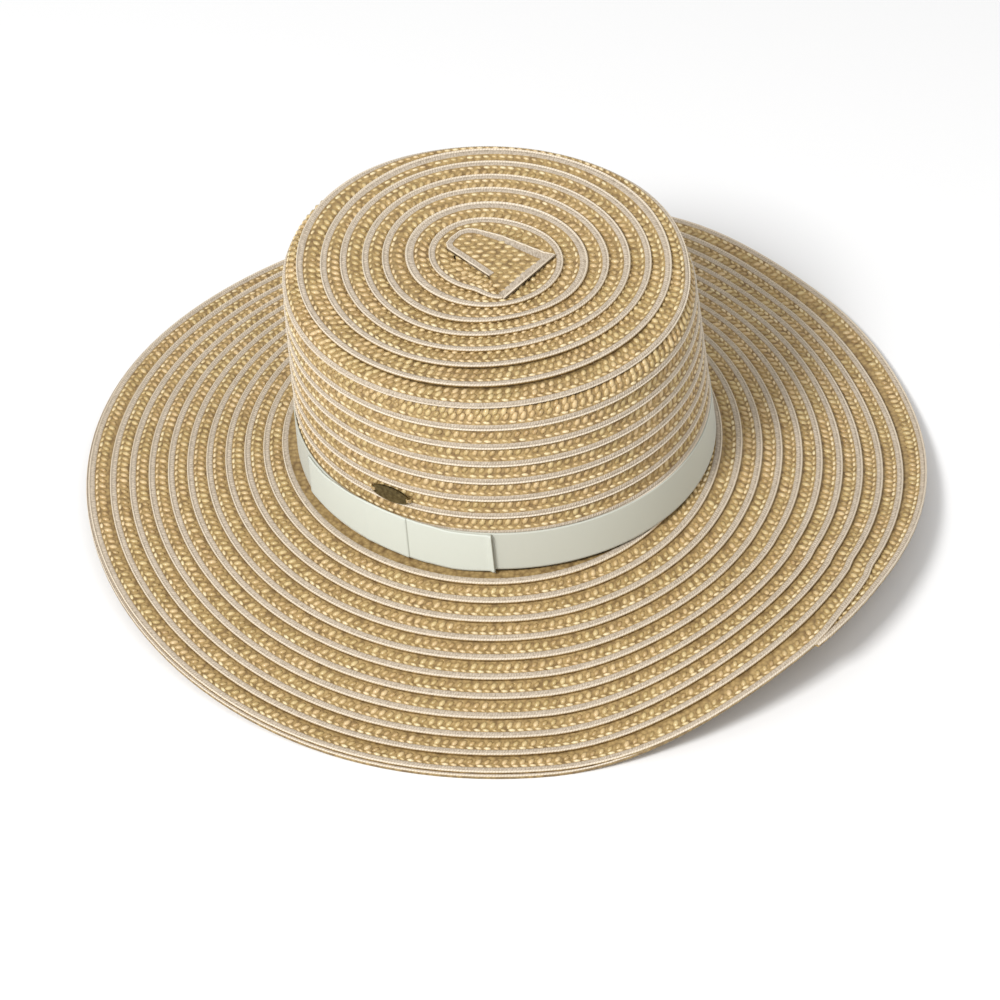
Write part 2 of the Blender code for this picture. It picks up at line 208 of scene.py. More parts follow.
def braid_strip(name, place, first, last, turn_steps, materials, wall=BRAID_WALL):
    """Solid strip of braid along a spiral, with its length and its width in metres in the UV map."""
    bm = bmesh.new()
    length_map = bm.loops.layers.uv.new("braid")
    profile = list(BRAID_SECTION) + [(back, -wall, "ground") for back in BRAID_UNDER]
    count = int(round((last - first) * turn_steps))
    rings, lengths, run = [], [], 0.0
    for index in range(count + 1):
        turn = first + (last - first) * index / count
        ring = [bm.verts.new(place(turn, back, lift)) for back, lift, _ in profile]
        if rings:
            run += (ring[4].co - rings[-1][4].co).length
        rings.append(ring)
        lengths.append(run)
    for index, (ring, following) in enumerate(zip(rings, rings[1:])):
        for side, (back, _, finish) in enumerate(profile):
            after = (side + 1) % len(profile)
            face = bm.faces.new((ring[side], following[side], following[after], ring[after]))
            face.material_index = FINISHES.index(finish)
            face.smooth = True
            next_back = profile[after][0]
            places = ((lengths[index], back), (lengths[index + 1], back),
                      (lengths[index + 1], next_back), (lengths[index], next_back))
            for loop, (along, across) in zip(face.loops, places):
                loop[length_map].uv = (along, across)
    bm.faces.new(rings[0])
    bm.faces.new(list(reversed(rings[-1])))
    bmesh.ops.recalc_face_normals(bm, faces=bm.faces)
    return mesh_piece(name, bm, materials)


def shader(name, colour, roughness, metallic=0.0):
    """New material, and its node tree with its main shader."""
    material = bpy.data.materials.new(name)
    material.use_nodes = True
    main = material.node_tree.nodes["Principled BSDF"]
    main.inputs["Base Color"].default_value = (*colour, 1.0)
    main.inputs["Roughness"].default_value = roughness
    main.inputs["Metallic"].default_value = metallic
    return material, material.node_tree, main


def add_node(tree, kind, inputs=None, **settings):
    node = tree.nodes.new(kind)
    for key, value in settings.items():
        setattr(node, key, value)
    for key, value in (inputs or {}).items():
        if isinstance(value, bpy.types.NodeSocket):
            tree.links.new(value, node.inputs[key])
        else:
            node.inputs[key].default_value = value
    return node


def colour_steps(tree, factor, steps):
    """Colour ramp through (place, colour) steps."""
    ramp = add_node(tree, "ShaderNodeValToRGB", {"Fac": factor})
    elements = ramp.color_ramp.elements
    while len(elements) < len(steps):
        elements.new(0.5)
    for element, (place, colour) in zip(elements, steps):
        element.position = place
        element.color = (*colour, 1.0)
    return ramp.outputs["Color"]


def bumped(tree, main, height, distance, strength=1.0):
    bump = add_node(tree, "ShaderNodeBump", {"Height": height, "Distance": distance, "Strength": strength})
    tree.links.new(bump.outputs["Normal"], main.inputs["Normal"])


def braid_map(tree, scale):
    """The strip's length and width, as (along, across) places at a scale for each."""
    place = add_node(tree, "ShaderNodeUVMap", uv_map="braid")
    return add_node(tree, "ShaderNodeMapping", {"Vector": place.outputs["UV"], "Scale": (*scale, 1.0)})


def braid_ground():
    """Fine straw that shows between the plait's pillows and on the braid's back; its dark colour is partly painted
    shade, the shade in the gaps between the pillows.
    """
    material, tree, main = shader("braid_ground", (0.30, 0.19, 0.07), 0.55)
    grid = braid_map(tree, (500.0, 500.0))
    weave = add_node(tree, "ShaderNodeTexVoronoi", {"Vector": grid.outputs["Vector"], "Scale": 1.0})
    colour = colour_steps(tree, weave.outputs["Distance"], (
        (0.0, (0.50, 0.35, 0.15)), (0.45, (0.37, 0.25, 0.10)), (0.9, (0.21, 0.13, 0.05))))
    tree.links.new(colour, main.inputs["Base Color"])
    bumped(tree, main, weave.outputs["Distance"], 0.0004, 0.6)
    return material


def braid_tape():
    """Cotton tape along the braid, woven in fine uneven lines."""
    material, tree, main = shader("braid_tape", (0.58, 0.48, 0.38), 0.75)
    grid = braid_map(tree, (1500.0, 500.0))
    weave = add_node(tree, "ShaderNodeTexNoise", {"Vector": grid.outputs["Vector"], "Scale": 1.0, "Detail": 2.0})
    colour = colour_steps(tree, weave.outputs["Fac"], (
        (0.30, (0.30, 0.24, 0.17)), (0.50, (0.46, 0.385, 0.295)), (0.75, (0.62, 0.53, 0.42))))
    tree.links.new(colour, main.inputs["Base Color"])
    bumped(tree, main, weave.outputs["Fac"], 0.0003, 0.6)
    return material


def edge_cord():
    """Pale twisted cord that binds the braid's outer side."""
    material, tree, main = shader("edge_cord", (0.86, 0.75, 0.61), 0.5)
    grid = braid_map(tree, (1000.0, 1000.0))
    wave = add_node(tree, "ShaderNodeTexWave", {"Vector": grid.outputs["Vector"], "Scale": 0.5, "Distortion": 0.8},
                    bands_direction="DIAGONAL")
    colour = colour_steps(tree, wave.outputs["Fac"], ((0.0, (0.54, 0.45, 0.33)), (0.5, (0.76, 0.66, 0.52))))
    tree.links.new(colour, main.inputs["Base Color"])
    bumped(tree, main, wave.outputs["Fac"], 0.00015, 0.6)
    return material


BRAID_MATERIALS = (braid_ground(), braid_tape(), edge_cord())
crown_braid = braid_strip("crown_braid", crown_place, CROWN_FIRST_TURN, CROWN_LAST_TURN, CROWN_TURN_STEPS,
                          BRAID_MATERIALS)
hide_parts("crown")

# Plait of the crown's braid: flat straws pass over each other in slanting columns, a bright narrow one
# beside the tape and darker, steeper ones above it. The bright one is painted light; the darker ones are
# partly darker straw and partly painted shade from the row above. A thread binds the tape in slanting stitches.
STRAW_SPACING, THREAD_SPACING = 0.0037, 0.0012
# Columns of straws: (distance back, straw length, width, height, slant, brightness: painted light on the bright
# column, painted shade and partly darker straw on the dark ones)
BRIGHT_COLUMN = (0.0039, 0.0033, 0.0015, 0.00125, -16.0, 1.0)
DARK_COLUMN = (0.0069, 0.0044, 0.0025, 0.0013, 58.0, 0.25)
HIDDEN_COLUMN = (0.0103, 0.0044, 0.0025, 0.0012, 58.0, 0.25)
THREAD_COLUMN = (0.0019, 0.0020, 0.0005, 0.0004, 60.0, 0.6)
STRAW_LEVEL, THREAD_LEVEL = -0.00012, 0.00028


def straw_material():
    """Golden straw, each pillow in its own tone plus its column's painted light and shade, with patches of greener
    and of redder straw.
    """
    material, tree, main = shader("plaited_straw", (0.52, 0.35, 0.14), 0.30)
    main.inputs["Specular IOR Level"].default_value = 0.7
    straw_tone_and_painted_light = add_node(tree, "ShaderNodeAttribute", attribute_name="straw_tone_and_painted_light")
    place = add_node(tree, "ShaderNodeTexCoord")
    fibres = add_node(tree, "ShaderNodeTexNoise", {"Vector": place.outputs["Object"], "Scale": 1400.0,
                                                  "Detail": 2.0})
    patches = add_node(tree, "ShaderNodeTexNoise", {"Vector": place.outputs["Object"], "Scale": 55.0,
                                                   "Detail": 2.0})
    mixed = add_node(tree, "ShaderNodeMix", {"Factor": 0.2, "A": straw_tone_and_painted_light.outputs["Fac"],
                                            "B": fibres.outputs["Fac"]}, data_type="FLOAT")
    green = colour_steps(tree, mixed.outputs["Result"], (
        (0.05, (0.37, 0.25, 0.10)), (0.35, (0.52, 0.38, 0.16)), (0.65, (0.66, 0.51, 0.25)),
        (0.95, (0.82, 0.70, 0.43))))
    red = colour_steps(tree, mixed.outputs["Result"], (
        (0.05, (0.38, 0.24, 0.10)), (0.35, (0.55, 0.38, 0.17)), (0.65, (0.69, 0.51, 0.27)),
        (0.95, (0.84, 0.69, 0.43))))
    share = add_node(tree, "ShaderNodeMapRange", {"Value": patches.outputs["Fac"], "From Min": 0.42,
                                                 "From Max": 0.58})
    colour = add_node(tree, "ShaderNodeMixRGB", {"Fac": share.outputs["Result"], "Color1": green, "Color2": red})
    tree.links.new(colour.outputs["Color"], main.inputs["Base Color"])
    bumped(tree, main, fibres.outputs["Fac"], 0.0002, 0.3)
    return material


def thread_material():
    """Pale cotton thread."""
    material, tree, main = shader("pale_thread", (0.86, 0.77, 0.64), 0.6)
    straw_tone_and_painted_light = add_node(tree, "ShaderNodeAttribute", attribute_name="straw_tone_and_painted_light")
    colour = colour_steps(tree, straw_tone_and_painted_light.outputs["Fac"], ((0.2, (0.44, 0.37, 0.28)), (0.8, (0.66, 0.57, 0.45))))
    tree.links.new(colour, main.inputs["Base Color"])
    return material


def straw_tree():
    """Geometry nodes that set slanting straws along paths which carry a facing and a slant side."""
    tree = bpy.data.node_groups.new("plait", "GeometryNodeTree")
    face = tree.interface
    face.new_socket("Geometry", in_out="INPUT", socket_type="NodeSocketGeometry")
    face.new_socket("Spacing", in_out="INPUT", socket_type="NodeSocketFloat")
    face.new_socket("Seed", in_out="INPUT", socket_type="NodeSocketInt")
    face.new_socket("Straw", in_out="INPUT", socket_type="NodeSocketMaterial")
    face.new_socket("Geometry", in_out="OUTPUT", socket_type="NodeSocketGeometry")
    given = add_node(tree, "NodeGroupInput").outputs
    path = add_node(tree, "GeometryNodeMeshToCurve", {"Mesh": given["Geometry"]})
    even = add_node(tree, "GeometryNodeResampleCurve", {"Curve": path.outputs["Curve"],
                                                       "Length": given["Spacing"]}, mode="LENGTH")
    facing = add_node(tree, "GeometryNodeInputNamedAttribute", {"Name": "facing"}, data_type="FLOAT_VECTOR")
    lean = add_node(tree, "GeometryNodeInputNamedAttribute", {"Name": "slant"}, data_type="FLOAT")
    column_painted_light_and_tone = add_node(tree, "GeometryNodeInputNamedAttribute", {"Name": "column_painted_light_and_tone"}, data_type="FLOAT")
    size = add_node(tree, "GeometryNodeInputNamedAttribute", {"Name": "straw_size"}, data_type="FLOAT_VECTOR")
    tangent = add_node(tree, "GeometryNodeInputTangent")
    upright = add_node(tree, "FunctionNodeAlignRotationToVector", {"Vector": facing.outputs["Attribute"]},
                       axis="Z")
    along = add_node(tree, "FunctionNodeAlignRotationToVector", {"Rotation": upright.outputs["Rotation"],
                     "Vector": tangent.outputs["Tangent"]}, axis="X", pivot_axis="Z")
    loose = add_node(tree, "FunctionNodeRandomValue", {"Min": -0.16, "Max": 0.16, "Seed": given["Seed"]},
                     data_type="FLOAT")
    slanted = add_node(tree, "ShaderNodeMath", {0: lean.outputs["Attribute"], 1: loose.outputs["Value"]},
                       operation="ADD")
    turn = add_node(tree, "FunctionNodeAxisAngleToRotation", {"Axis": (0.0, 0.0, 1.0),
                                                             "Angle": slanted.outputs["Value"]})
    placed = add_node(tree, "FunctionNodeRotateRotation", {"Rotation": along.outputs["Rotation"],
                      "Rotate By": turn.outputs["Rotation"]}, rotation_space="LOCAL")
    swell = add_node(tree, "FunctionNodeRandomValue", {"Min": 0.88, "Max": 1.12, "Seed": given["Seed"]},
                     data_type="FLOAT")
    scale = add_node(tree, "ShaderNodeVectorMath", {0: size.outputs["Attribute"],
                     "Scale": swell.outputs["Value"]},
                     operation="SCALE")
    pillow = add_node(tree, "GeometryNodeMeshIcoSphere", {"Radius": 0.5, "Subdivisions": 1})
    laid = add_node(tree, "GeometryNodeInstanceOnPoints", {"Points": even.outputs["Curve"],
                    "Instance": pillow.outputs["Mesh"], "Rotation": placed.outputs["Rotation"],
                    "Scale": scale.outputs["Vector"]})
    spread = add_node(tree, "FunctionNodeRandomValue", {"Min": 0.0, "Max": 0.55, "Seed": given["Seed"]},
                      data_type="FLOAT")
    # Tone of each straw: its column's painted light and shade, times 0.45, plus a random share of its own.
    straw_tone_and_painted_light = add_node(tree, "ShaderNodeMath", {0: column_painted_light_and_tone.outputs["Attribute"], 1: 0.45, 2: spread.outputs["Value"]},
                    operation="MULTIPLY_ADD")
    toned = add_node(tree, "GeometryNodeStoreNamedAttribute", {"Geometry": laid.outputs["Instances"],
                     "Name": "straw_tone_and_painted_light", "Value": straw_tone_and_painted_light.outputs["Value"]}, data_type="FLOAT", domain="INSTANCE")
    real = add_node(tree, "GeometryNodeRealizeInstances", {"Geometry": toned.outputs["Geometry"]})
    soft = add_node(tree, "GeometryNodeSetShadeSmooth", {"Geometry": real.outputs["Geometry"]})
    dyed = add_node(tree, "GeometryNodeSetMaterial", {"Geometry": soft.outputs["Geometry"],
                                                     "Material": given["Straw"]})
    add_node(tree, "NodeGroupOutput", {"Geometry": dyed.outputs["Geometry"]})
    return tree


PLAIT_TREE = straw_tree()
PLAITED_STRAW = straw_material()
PALE_THREAD = thread_material()


def plait(name, paths, seed, spacing=STRAW_SPACING, straw=PLAITED_STRAW):
    """Straws along paths of (point, facing, size, slant, painted light and shade with tone), made real as one
    mesh.
    """
    mesh = bpy.data.meshes.new(name + "_paths")
    points, edges = [], []
    for path in paths:
        edges += [(len(points) + index, len(points) + index + 1) for index in range(len(path) - 1)]
        points += path
    mesh.from_pydata([point for point, *_ in points], edges, [])
    facings = [value for _, facing, *_ in points for value in facing]
    sizes = [value for _, _, size, *_ in points for value in size]
    mesh.attributes.new("facing", "FLOAT_VECTOR", "POINT").data.foreach_set("vector", facings)
    mesh.attributes.new("straw_size", "FLOAT_VECTOR", "POINT").data.foreach_set("vector", sizes)
    mesh.attributes.new("slant", "FLOAT", "POINT").data.foreach_set("value", [point[3] for point in points])
    mesh.attributes.new("column_painted_light_and_tone", "FLOAT", "POINT").data.foreach_set("value", [point[4] for point in points])
    carrier = bpy.data.objects.new(name + "_paths", mesh)
    bpy.context.scene.collection.objects.link(carrier)
    nodes = carrier.modifiers.new("plait", "NODES")
    nodes.node_group = PLAIT_TREE
    values = {"Spacing": spacing, "Seed": seed, "Straw": straw}
    for socket in PLAIT_TREE.interface.items_tree:
        if socket.in_out == "INPUT" and socket.name in values:
            nodes[socket.identifier] = values[socket.name]
    graph = bpy.context.evaluated_depsgraph_get()
    made = bpy.data.meshes.new_from_object(carrier.evaluated_get(graph), depsgraph=graph)
    bpy.data.objects.remove(carrier, do_unlink=True)
    made.name = name
    item = bpy.data.objects.new(name, made)
    bpy.context.scene.collection.objects.link(item)
    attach(item, "root")
    return item


def straw_path(place, first, last, turn_steps, column, level=STRAW_LEVEL):
    """Middle line of one column of straws along the braid."""
    back, length, width, height, slant, column_painted_light_and_tone = column
    count = int(round((last - first) * turn_steps))
    path = []
    for index in range(count + 1):
        turn = first + (last - first) * index / count
        point = place(turn, back, level)
        ahead = place(turn + 0.002, back, level) - point
        inward = place(turn, back + 0.0005, level) - point
        facing = inward.cross(ahead).normalized()
        path.append((point, facing, (length, width, height), math.radians(slant), column_painted_light_and_tone))
    return path


CROWN_PLAIT_LAST = 13.6
crown_paths = [straw_path(crown_place, CROWN_FIRST_TURN, CROWN_PLAIT_LAST, CROWN_TURN_STEPS, column)
               for column in (BRIGHT_COLUMN, DARK_COLUMN, HIDDEN_COLUMN)]
crown_plait = plait("crown_plait", crown_paths, 3)
crown_threads = plait("crown_threads", [straw_path(crown_place, CROWN_FIRST_TURN, CROWN_PLAIT_LAST,
                      CROWN_TURN_STEPS, THREAD_COLUMN, THREAD_LEVEL)], 7, THREAD_SPACING, PALE_THREAD)

# Brim: the same braid goes on round the crown's foot and out to the edge, eleven turns in a wave that
# rests on three low places. Its last turn narrows at the right, where the next one covers it.
BRIM_WIDTH, BRIM_ROW = 0.0954, 0.0090
NARROWEST_DIRECTION, TAPER_ARC = -5.0, 62.0
BRIM_LIFT, EDGE_FLAT, FALL_EASE = 0.0226, 0.0085, 0.18
EDGE_HEIGHT = 0.0020
# Waves in how far a turn drifts at the crown and, on top of that, ten turns further out
BRIM_DRIFT = ((0, 0.00262, 0.0), (1, 0.00405, -137.5), (2, 0.00212, -62.1), (3, 0.00078, -38.4))
BRIM_GROWTH = ((0, 0.00091, 0.0), (1, 0.00069, 42.6), (2, 0.00110, -55.7), (3, 0.00118, -1.5))
BRIM_OUTLINE = ((0, 0.09951, 0.0), (1, 0.00118, -144.4), (2, 0.00102, -77.6), (3, 0.00076, -25.1),
                (4, 0.00033, -1.4))
END_BULGE, END_BULGE_ANGLE, END_BULGE_ARC = 0.0031, -19.0, 17.0
LIP, LIP_ANGLE = 0.0012, -130.0
BRIM_FIRST_TURN, BRIM_LAST_TURN = 0.02, 11.046
BRIM_TURN_STEPS = 150
BRIM_MARGIN = -0.0016
# Rest places and lifts of the brim's edge: (direction, share of BRIM_LIFT, half arc that stays level)
BRIM_WAVE = (
    (-97.0, 0.00, 9.0),
    (-47.0, 1.00, 0.0),
    (25.0, 0.00, 9.0),
    (60.0, 0.22, 0.0),
    (105.0, 0.00, 9.0),
    (180.0, 0.43, 0.0),
)


def brim_width(direction):
    share = ((NARROWEST_DIRECTION - direction) % 360.0) / 360.0
    full = 1.0 - TAPER_ARC / 360.0
    if share > full:
        share = full * (1.0 - share) / (1.0 - full)
    return BRIM_WIDTH + BRIM_ROW * share


def brim_lift(direction):
    last, first = BRIM_WAVE[-1], BRIM_WAVE[0]
    places = [(last[0] - 360.0, *last[1:]), *BRIM_WAVE, (first[0] + 360.0, *first[1:])]
    direction = (direction + 180.0) % 360.0 - 180.0
    for (start, low, level_a), (stop, high, level_b) in zip(places, places[1:]):
        if start <= direction <= stop:
            share = (direction - start - level_a) / (stop - level_b - start - level_a)
            share = (1.0 - math.cos(math.pi * min(max(share, 0.0), 1.0))) / 2.0
            return BRIM_LIFT * (low + (high - low) * share)
    return 0.0


def fall_share(share):
    steep = 1.0 / (1.0 - FALL_EASE / 2.0)
    if share >= 1.0:
        return 1.0
    if share < 1.0 - FALL_EASE:
        return steep * share
    return 1.0 - steep * (1.0 - share) ** 2 / (2.0 * FALL_EASE)


def brim_surface(outset, degrees, above):
    """Point over the brim's upper face, at a distance out from the crown's foot."""
    foot_x, _ = oval(0.0, degrees)
    far_x, far_y = oval(BRIM_WIDTH, degrees)
    direction = math.degrees(math.atan2(far_y, far_x))
    width = brim_width(direction)
    x, y = oval(outset, degrees)
    fallen = fall_share(max(outset, 0.0) / (width - EDGE_FLAT))
    height = (FOOT_HEIGHT + CROWN_LEAN * foot_x) * (1.0 - fallen) + EDGE_HEIGHT * fallen
    return HAT_MIDDLE + Vector((x, y, height + brim_lift(direction) * fallen ** 2 + above))


def edge_lip(degrees):
    """How far the edge's strip stands out from under the outer row."""
    return LIP * smooth_share(math.cos(math.radians(degrees - LIP_ANGLE)), -0.15, 0.30)


def brim_line(turn, degrees):
    """Distance from the crown's foot to a turn's outer line."""
    nearness = math.exp(-((degrees % -360.0 - END_BULGE_ANGLE) / END_BULGE_ARC) ** 2)
    place = BRIM_ROW * turn + drift(BRIM_DRIFT, degrees) + turn / 10.0 * drift(BRIM_GROWTH, degrees)
    place += END_BULGE * nearness * (turn / 9.0) ** 2
    edge = drift(BRIM_OUTLINE, degrees) - edge_lip(degrees)
    outermost = smooth_share(turn, 10.026, 10.052)
    ending = smooth_share(turn, 11.0, BRIM_LAST_TURN)
    return min(place * (1.0 - outermost) + edge * outermost, edge) + 0.0015 * ending


def brim_place(turn, back, lift):
    degrees = -360.0 * (turn % 1.0)
    line = brim_line(turn, degrees)
    width = max(line - brim_line(turn - 1.0, degrees), LEAST_ROW)
    back = tucked(back, width)
    share = 1.0 - back / width
    outset = line - back
    if outset < BRIM_MARGIN:
        outset = BRIM_MARGIN + 0.02 * (outset - BRIM_MARGIN)
    return brim_surface(outset, degrees, SHINGLE_LOW + SHINGLE_RISE * share + lift)


brim_braid = braid_strip("brim_braid", brim_place, BRIM_FIRST_TURN, BRIM_LAST_TURN, BRIM_TURN_STEPS,
                         BRAID_MATERIALS)
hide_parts("brim")
BRIM_PLAIT_FIRST = 0.45
BRIM_DARK_COLUMN = (0.0065, *DARK_COLUMN[1:])
brim_paths = [straw_path(brim_place, BRIM_PLAIT_FIRST, BRIM_LAST_TURN, BRIM_TURN_STEPS, column)
              for column in (BRIGHT_COLUMN, BRIM_DARK_COLUMN)]
brim_plait = plait("brim_plait", brim_paths, 5)
brim_threads = plait("brim_threads", [straw_path(brim_place, BRIM_PLAIT_FIRST, BRIM_LAST_TURN,
                     BRIM_TURN_STEPS, THREAD_COLUMN, THREAD_LEVEL)], 9, THREAD_SPACING, PALE_THREAD)

# Edge of the brim: one more turn of braid, led under the outer row so that its pale cord shows as a
# second line at the left and the front, and cut off square where its two ends meet at the right front.
EDGE_TOP, EDGE_BRAID_WALL = 0.0015, 0.0014
EDGE_BACK_SHARE = 0.60
EDGE_RETREAT = 0.0010
BRAID_END_DIRECTION, BRAID_END_GAP = -50.0, 0.0010


def edge_place(turn, back, lift):
    degrees = BRAID_END_DIRECTION - math.degrees(CROWN_TURN) - 360.0 * turn
    far_x, far_y = oval(BRIM_WIDTH, degrees)
    direction = math.degrees(math.atan2(far_y, far_x))
    line = drift(BRIM_OUTLINE, degrees) - EDGE_RETREAT * (1.0 - edge_lip(degrees) / LIP)
    x, y = oval(line - EDGE_BACK_SHARE * back, degrees)
    return HAT_MIDDLE + Vector((x, y, brim_lift(direction) + EDGE_TOP + lift))


end_gap = BRAID_END_GAP / (2.0 * math.pi * (CROWN_HALF_LENGTH + BRIM_WIDTH))
edge_braid = braid_strip("edge_braid", edge_place, end_gap / 2.0, 1.0 - end_gap / 2.0, BRIM_TURN_STEPS,
                         BRAID_MATERIALS, EDGE_BRAID_WALL)
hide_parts("brim_edge")

# Start of the braid on the tip: its raw end is folded over itself and mitred at two corners, so that
# the tape makes a wide band along the fold's top and right sides, with the pale cord outside it.
START_TURN = math.radians(-50.0)
PLATE_LOW, PLATE_HIGH = 0.0003, 0.0015
BAND_HIGH, FOLD_CORD = 0.0019, 0.00042
HEART_DISC, DISC_TOP = 0.0175, -0.0006
# Tape band of the fold in millimetres, from its raw end: (outer along, outer across, inner along, inner across)
START_BAND = (
    (4.3, -2.3, 4.2, 0.3), (-10.0, -2.3, -10.0, 0.3), (-22.6, -2.3, -21.8, 0.2), (-25.2, -0.6, -23.6, 1.2),
    (-26.6, 3.4, -24.6, 3.9), (-27.0, 8.9, -25.0, 8.3), (-25.6, 12.4, -23.8, 10.9), (-22.7, 14.6, -21.6, 12.8),
    (-12.0, 19.0, -11.2, 16.2), (0.0, 21.9, 0.6, 18.4), (10.7, 24.4, 10.9, 20.2), (15.1, 26.7, 12.6, 21.0),
    (17.2, 9.5, 13.3, 8.7), (19.4, -8.0, 15.9, -7.4),
)
# Rows of straws on the fold in millimetres: (across, from along, to along)
START_ROWS = (
    (2.4, -21.5, 13.8), (6.0, -23.0, 13.4), (9.6, -22.0, 13.0), (13.2, -19.0, 12.8), (16.8, -8.0, 12.4),
    (-1.2, 6.0, 15.0), (-4.4, 11.0, 15.6),
)
# Rings of straws inside the first turn: (radius, from direction, to direction)
DISC_ROWS = ((0.0092, -40.0, -260.0), (0.0128, -50.0, -250.0), (0.0162, -60.0, -250.0))


def start_point(along, across, above):
    """Point over the folded start, from metres along and across it."""
    x = along * math.cos(START_TURN) - across * math.sin(START_TURN)
    y = along * math.sin(START_TURN) + across * math.cos(START_TURN)
    return on_crown(x, y, CROWN_HEIGHT + above)


def disc_point(radius, degrees, above):
    """Point of the tip's middle, at a radius and direction from it."""
    x = HEART_MIDDLE[0] + radius * math.cos(math.radians(degrees))
    y = HEART_MIDDLE[1] + radius * math.sin(math.radians(degrees))
    return on_crown(x, y, CROWN_HEIGHT + above)


def slab(bm, low_points, high_points, finish):
    """Closed plate between two rings of points."""
    low_ring = [bm.verts.new(point) for point in low_points]
    high_ring = [bm.verts.new(point) for point in high_points]
    faces = [bm.faces.new(low_ring), bm.faces.new(high_ring)]
    for index in range(len(low_ring)):
        after = (index + 1) % len(low_ring)
        faces.append(bm.faces.new((low_ring[index], low_ring[after], high_ring[after], high_ring[index])))
    for face in faces:
        face.material_index = FINISHES.index(finish)


bm = bmesh.new()
bm.loops.layers.uv.new("braid")
band = [tuple(value / 1000.0 for value in row) for row in START_BAND]
outline = [row[:2] for row in band]
slab(bm, [start_point(*corner, PLATE_LOW) for corner in outline],
     [start_point(*corner, PLATE_HIGH) for corner in outline], "ground")
rings = []
for outer_u, outer_v, inner_u, inner_v in band:
    rings.append([bm.verts.new(start_point(outer_u, outer_v, PLATE_LOW)),
                  bm.verts.new(start_point(outer_u, outer_v, BAND_HIGH)),
                  bm.verts.new(start_point(inner_u, inner_v, BAND_HIGH)),
                  bm.verts.new(start_point(inner_u, inner_v, PLATE_LOW))])
band_faces = [bm.faces.new(rings[0]), bm.faces.new(rings[-1])]
for ring, following in zip(rings, rings[1:]):
    for corner in range(4):
        after = (corner + 1) % 4
        band_faces.append(bm.faces.new((ring[corner], ring[after], following[after], following[corner])))
for face in band_faces:
    face.material_index = FINISHES.index("tape")
made = len(bm.faces)
tube(bm, [start_point(u, v, BAND_HIGH) for u, v in outline], FOLD_CORD)
bm.faces.ensure_lookup_table()
for face in bm.faces[made:]:
    face.material_index = FINISHES.index("cord")
disc_angles = [index * 10.0 for index in range(36)]
slab(bm, [disc_point(HEART_DISC, angle, DISC_TOP - BRAID_WALL) for angle in disc_angles],
     [disc_point(HEART_DISC, angle, DISC_TOP) for angle in disc_angles], "ground")
bmesh.ops.recalc_face_normals(bm, faces=bm.faces)
uv_layer = bm.loops.layers.uv["braid"]
for face in bm.faces:
    for loop in face.loops:
        loop[uv_layer].uv = (loop.vert.co.x, loop.vert.co.y)
start_plate = mesh_piece("start_plate", bm, BRAID_MATERIALS)
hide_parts("start_fold")

start_size = tuple(BRIGHT_COLUMN[1:4])
start_slant = math.radians(40.0)
start_paths = []
for across, from_along, to_along in START_ROWS:
    start_paths.append([(start_point(along / 1000.0, across / 1000.0, PLATE_HIGH), Vector((0.0, 0.0, 1.0)),
                         (0.0040, 0.0021, 0.0012), start_slant, 0.6) for along in (from_along, to_along)])
for radius, from_angle, to_angle in DISC_ROWS:
    steps = [from_angle + (to_angle - from_angle) * index / 40 for index in range(41)]
    start_paths.append([(disc_point(radius, angle, DISC_TOP), Vector((0.0, 0.0, 1.0)),
                         DARK_COLUMN[1:4], math.radians(DARK_COLUMN[4]), 0.25) for angle in steps])
start_plait = plait("start_plait", start_paths, 11)

# Ribbon round the crown's foot: a flat ribbon, drawn tight, a little above the brim's first row.
RIBBON_RISE, RIBBON_WIDTH, RIBBON_WALL, ROW_STEP = 0.0019, 0.0210, 0.0006, 0.0007
RIBBON_SIDES = 240
RIBBON_SHARES = (0.0, 0.04, 0.5, 0.96, 1.0)


def ribbon_cloth(name, colour):
    """Matt ribbon with a fine ribbed weave, darkened to dark olive by painted shade where an attribute of the mesh
    asks for it.
    """
    material, tree, main = shader(name, colour, 0.72)
    main.inputs["Sheen Weight"].default_value = 0.15
    place = add_node(tree, "ShaderNodeUVMap", uv_map="cloth")
    ribs = add_node(tree, "ShaderNodeMapping", {"Vector": place.outputs["UV"], "Scale": (2600.0, 4200.0, 1.0)})
    weave = add_node(tree, "ShaderNodeTexBrick", {"Vector": ribs.outputs["Vector"], "Scale": 1.0,
                     "Mortar Size": 0.06, "Color1": (*colour, 1.0),
                     "Color2": (*(value * 0.97 for value in colour), 1.0),
                     "Mortar": (*(value * 0.86 for value in colour), 1.0)})
    # Painted shade: the cloth is mixed towards dark olive by the mesh's shade attribute.
    painted_shade = add_node(tree, "ShaderNodeAttribute", attribute_name="painted_shade")
    shaded = add_node(tree, "ShaderNodeMixRGB", {"Fac": painted_shade.outputs["Fac"], "Color1": weave.outputs["Color"],
                      "Color2": (0.16, 0.15, 0.10, 1.0)})
    tree.links.new(shaded.outputs["Color"], main.inputs["Base Color"])
    bumped(tree, main, weave.outputs["Fac"], 0.0001, -0.3)
    return material


